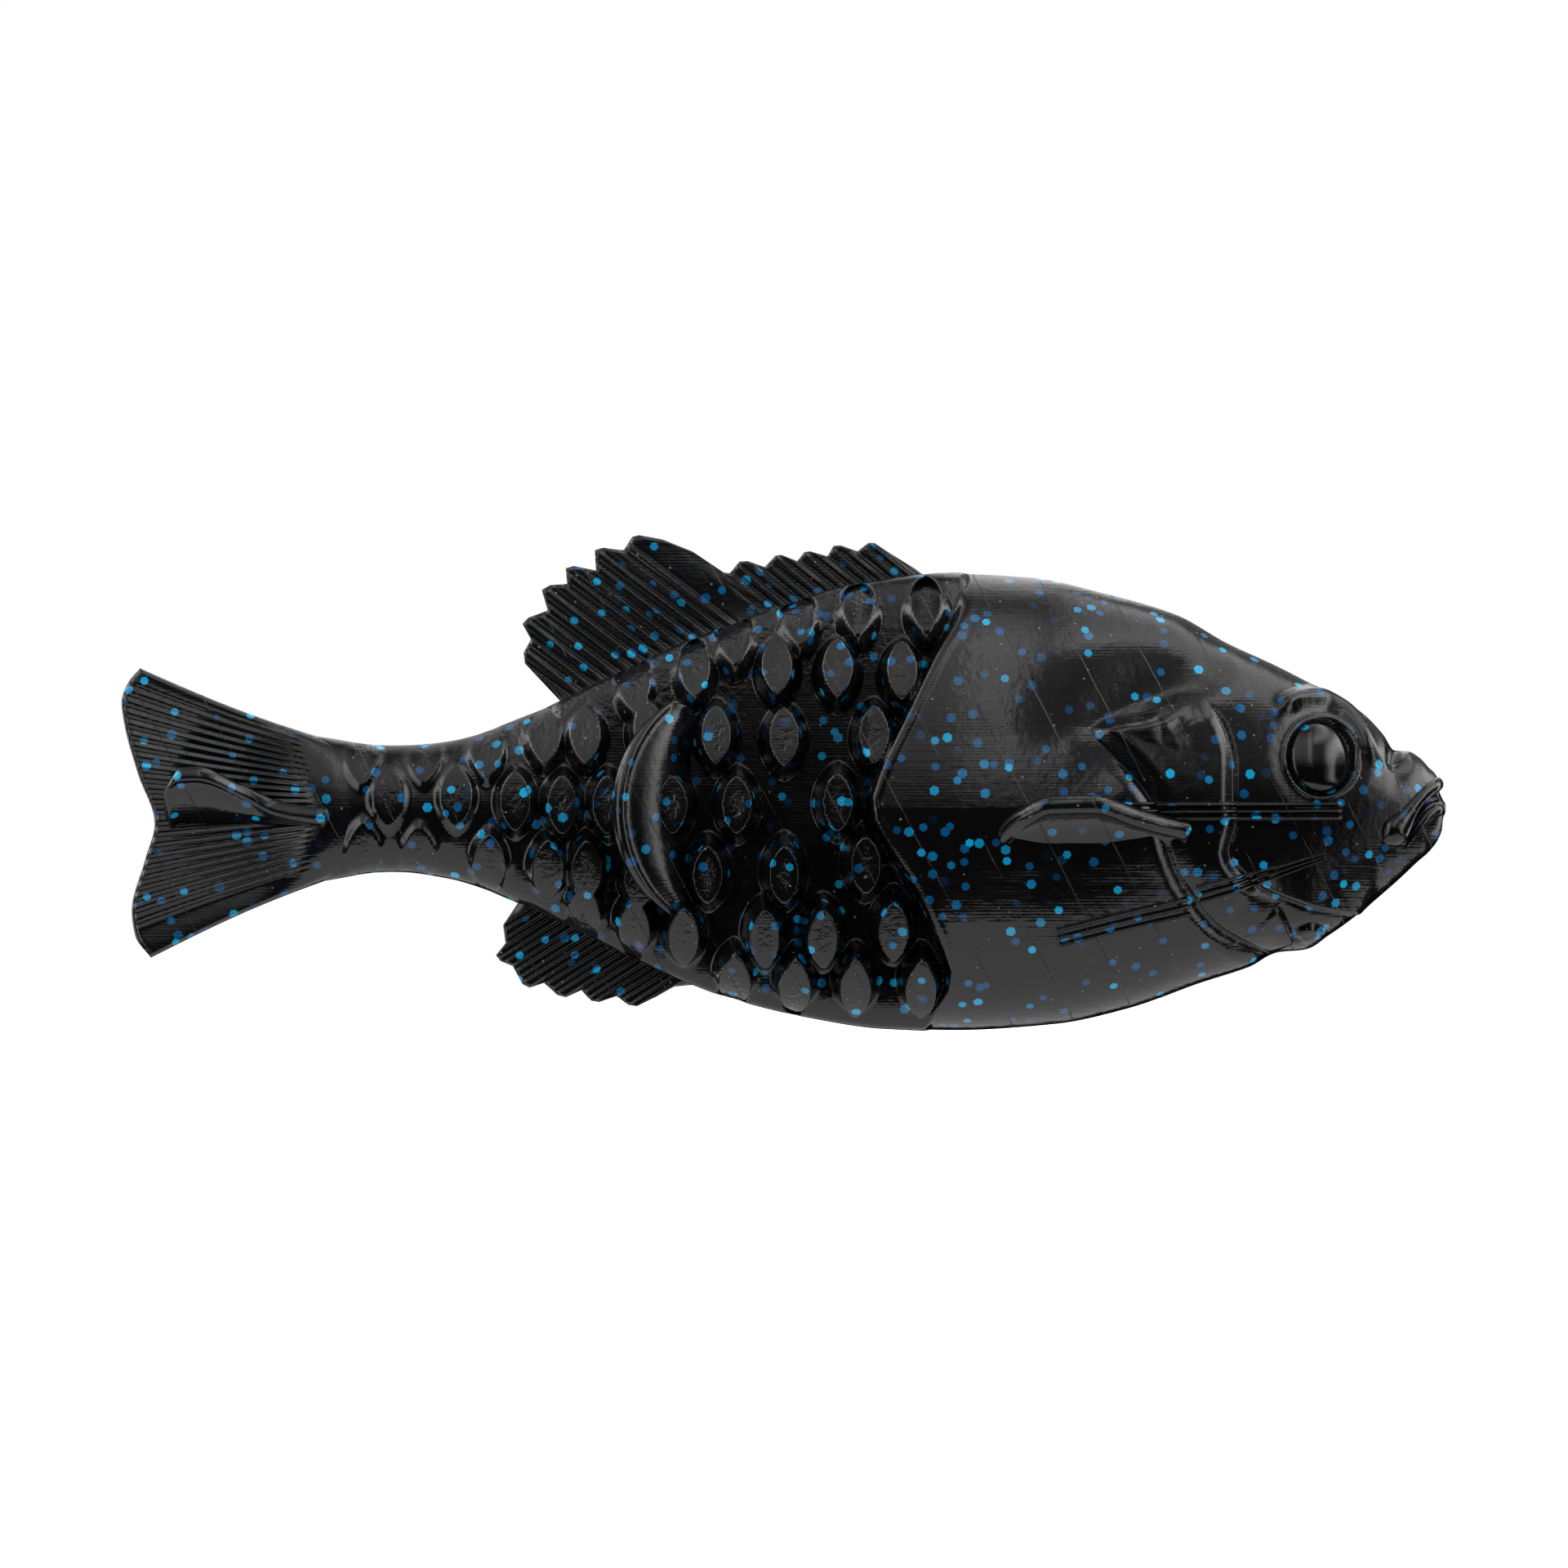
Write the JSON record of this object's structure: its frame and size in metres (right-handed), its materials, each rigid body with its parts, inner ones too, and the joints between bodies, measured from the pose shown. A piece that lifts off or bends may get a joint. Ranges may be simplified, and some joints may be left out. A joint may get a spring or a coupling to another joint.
{
  "type": "soft swimbait",
  "caption": "Sunfish-shaped soft-plastic swimbait with a smooth thick head, a slim peg-covered flexing body, finned flaps and a forked tail.",
  "frame": {"origin": "the nose tip, where the line or the hook's eye comes out, level with the middle of the flank", "axes": "+X from tail to nose, +Z to the fish's back, +Y to its left side; Y = 0 is the plane of symmetry"},
  "size_m": [0.1099, 0.0308, 0.0412],
  "materials": {
    "black_plastic": "glossy soft plastic with blue hexagonal flakes",
    "black_fin_plastic": "glossy thin soft plastic with blue hexagonal flakes",
    "black_eye_plastic": "mirror-smooth soft plastic with a few blue flakes"
  },
  "bodies": {
    "front": {"front_body": "black_plastic", "upper_lip": "black_plastic", "lower_lip": "black_plastic", "eye_left": "black_eye_plastic", "eye_right": "black_eye_plastic", "gill_cover_left": "black_plastic", "gill_cover_right": "black_plastic"},
    "pectoral_left": {"pectoral_fin_left": "black_fin_plastic"},
    "pectoral_right": {"pectoral_fin_right": "black_fin_plastic"},
    "fore": {"fore_core": "black_plastic"},
    "spiny": {"spiny_dorsal": "black_fin_plastic"},
    "aft": {"aft_core": "black_plastic"},
    "soft": {"soft_dorsal": "black_fin_plastic"},
    "anal": {"anal_fin": "black_fin_plastic"},
    "flap_left": {"side_flap_left": "black_fin_plastic"},
    "flap_right": {"side_flap_right": "black_fin_plastic"},
    "stem": {"tail_stem": "black_plastic"},
    "tail": {"tail_fin": "black_fin_plastic"},
    "tail_flap_left": {"tail_flap_left": "black_fin_plastic"},
    "tail_flap_right": {"tail_flap_right": "black_fin_plastic"}
  },
  "joints": [
    {"name": "shoulder_bend", "type": "hinge", "parent": "front", "child": "fore", "pos_m": [-0.0454, 0, 0], "axis": [0, 0, 1], "range_deg": [-5, 5], "stiffness_Nm_per_rad": 0.02},
    {"name": "middle_bend", "type": "hinge", "parent": "fore", "child": "aft", "pos_m": [-0.0621, 0, 0], "axis": [0, 0, 1], "range_deg": [-12, 12], "stiffness_Nm_per_rad": 0.008},
    {"name": "stem_bend", "type": "hinge", "parent": "aft", "child": "stem", "pos_m": [-0.0763, 0, 0], "axis": [0, 0, 1], "range_deg": [-12, 12], "stiffness_Nm_per_rad": 0.004},
    {"name": "tail_kick", "type": "hinge", "parent": "stem", "child": "tail", "pos_m": [-0.0912, 0, 0], "axis": [0, 0, 1], "range_deg": [-25, 25], "stiffness_Nm_per_rad": 0.002},
    {"name": "pectoral_left_flex", "type": "hinge", "parent": "front", "child": "pectoral_left", "pos_m": [-0.03703, 0.01178, -0.00391], "axis": [0.9928, -0.1196, 0], "range_deg": [-50, 12], "stiffness_Nm_per_rad": 0.0005},
    {"name": "pectoral_right_flex", "type": "hinge", "parent": "front", "child": "pectoral_right", "pos_m": [-0.03703, -0.01178, -0.00391], "axis": [-0.9928, -0.1196, 0], "range_deg": [-50, 12], "stiffness_Nm_per_rad": 0.0005},
    {"name": "spiny_flex", "type": "hinge", "parent": "fore", "child": "spiny", "pos_m": [-0.05937, 0, 0.0161], "axis": [0.9655, 0, 0.2603], "range_deg": [-25, 25], "stiffness_Nm_per_rad": 0.0005},
    {"name": "soft_flex", "type": "hinge", "parent": "aft", "child": "soft", "pos_m": [-0.07296, 0, 0.00973], "axis": [0.9079, 0, 0.4191], "range_deg": [-25, 25], "stiffness_Nm_per_rad": 0.0005},
    {"name": "anal_flex", "type": "hinge", "parent": "aft", "child": "anal", "pos_m": [-0.07688, 0, -0.00855], "axis": [0.8994, 0, -0.4372], "range_deg": [-25, 25], "stiffness_Nm_per_rad": 0.0005},
    {"name": "side_flap_left_flex", "type": "hinge", "parent": "aft", "child": "flap_left", "pos_m": [-0.0632, 0.00526, 0], "axis": [0, 0, -1], "range_deg": [-5, 35], "stiffness_Nm_per_rad": 0.0005},
    {"name": "side_flap_right_flex", "type": "hinge", "parent": "aft", "child": "flap_right", "pos_m": [-0.0632, -0.00526, 0], "axis": [0, 0, 1], "range_deg": [-5, 35], "stiffness_Nm_per_rad": 0.0005},
    {"name": "tail_flap_left_flex", "type": "hinge", "parent": "tail", "child": "tail_flap_left", "pos_m": [-0.106, 0.0017, -0.0009], "axis": [0.9883, 0.1527, 0], "range_deg": [-50, 12], "stiffness_Nm_per_rad": 0.0005},
    {"name": "tail_flap_right_flex", "type": "hinge", "parent": "tail", "child": "tail_flap_right", "pos_m": [-0.106, -0.0017, -0.0009], "axis": [-0.9883, 0.1527, 0], "range_deg": [-50, 12], "stiffness_Nm_per_rad": 0.0005}
  ]
}
